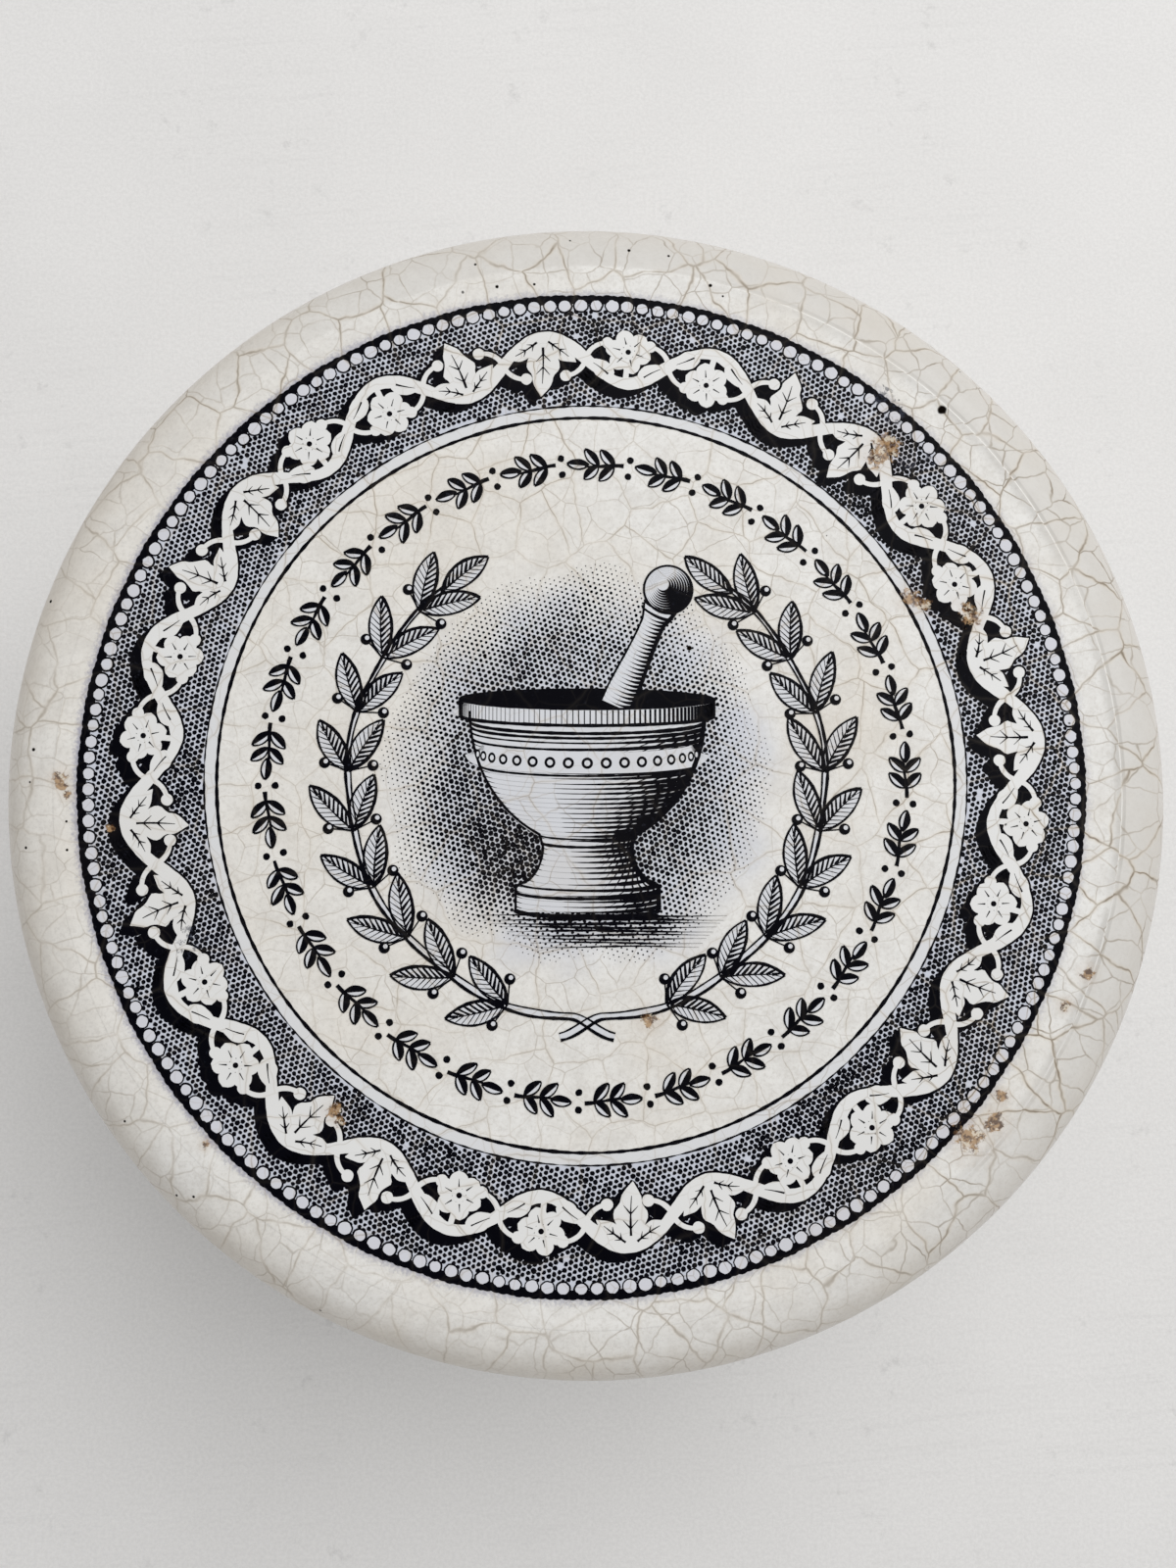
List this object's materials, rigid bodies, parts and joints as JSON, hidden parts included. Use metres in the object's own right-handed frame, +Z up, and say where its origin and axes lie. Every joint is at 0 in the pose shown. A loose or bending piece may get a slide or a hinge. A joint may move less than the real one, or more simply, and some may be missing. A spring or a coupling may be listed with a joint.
{
  "type": "toothpaste pot",
  "caption": "Low round glazed earthenware pot with a printed flat lid that lifts off, for paste or salve.",
  "frame": {"origin": "centre of the circle that the foot ring stands on", "axes": "+Z up along the pot's axis, the way the lid lifts; +Y towards the top of the print"},
  "size_m": [0.084, 0.084, 0.0461],
  "materials": {
    "glaze": "glossy clear glaze, finely crazed, over cream-white earthenware",
    "ink": "blue-black transfer ink under the same glossy glaze",
    "stippled_ink": "fine blue-black stipple on a pale blue ground, under the same glossy glaze"
  },
  "bodies": {
    "pot": {"pot": "glaze"},
    "lid": {"lid": "glaze", "print_border": "ink", "print_band": "stippled_ink", "print_ring": "ink", "print_sprigs": "ink", "print_picture": "ink"}
  },
  "joints": [
    {"name": "lid_lift", "type": "slide", "parent": "pot", "child": "lid", "axis": [0, 0, 1], "range_m": [0, 0.06]}
  ]
}
